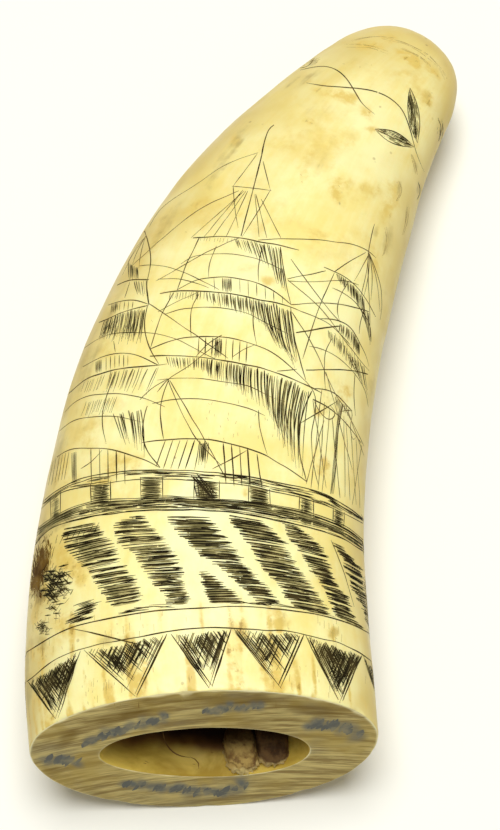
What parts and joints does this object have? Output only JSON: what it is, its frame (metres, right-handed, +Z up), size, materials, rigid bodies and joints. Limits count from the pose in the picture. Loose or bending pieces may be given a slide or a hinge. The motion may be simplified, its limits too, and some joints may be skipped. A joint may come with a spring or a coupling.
{
  "type": "scrimshaw whale tooth",
  "caption": "Large curved whale tooth lying on its side, with a sawn hollow root and an engraved broad face of a sailing ship and sea bands.",
  "frame": {"origin": "middle of the underside of the bounding box, on the table it lies on", "axes": "+Z up, away from the table, through the engraved broad side; +Y from the sawn root towards the crown; +X the way the crown curls; the sawn root faces -Y and leans 14.2 degrees back"},
  "size_m": [0.1, 0.1795, 0.0451],
  "materials": {
    "dentine": "polished warm yellow dentine, aged darker on the sawn root"
  },
  "bodies": {
    "root": {"tooth": "dentine"}
  },
  "joints": []
}
